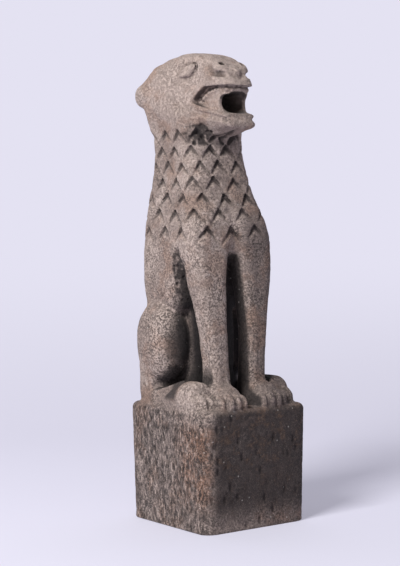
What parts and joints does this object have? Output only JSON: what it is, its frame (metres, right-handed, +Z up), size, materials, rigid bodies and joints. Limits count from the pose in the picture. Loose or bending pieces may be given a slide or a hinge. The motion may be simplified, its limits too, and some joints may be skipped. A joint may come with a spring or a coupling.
{
  "type": "stone dog sculpture",
  "caption": "Seated guardian dog with an open mouth and a scaled neck, carved in one with its square block plinth from weathered sandstone.",
  "frame": {"origin": "middle of the underside of the plinth, on the ground", "axes": "+Z up, -Y the way the dog faces, +X its left side"},
  "size_m": [0.126, 0.1288, 0.451],
  "materials": {
    "weathered_sandstone": "rough weathered pinkish grey-brown sandstone, darker and dirtier in its hollows and on the front of the plinth"
  },
  "bodies": {
    "root": {"stone_dog": "weathered_sandstone"}
  },
  "joints": []
}
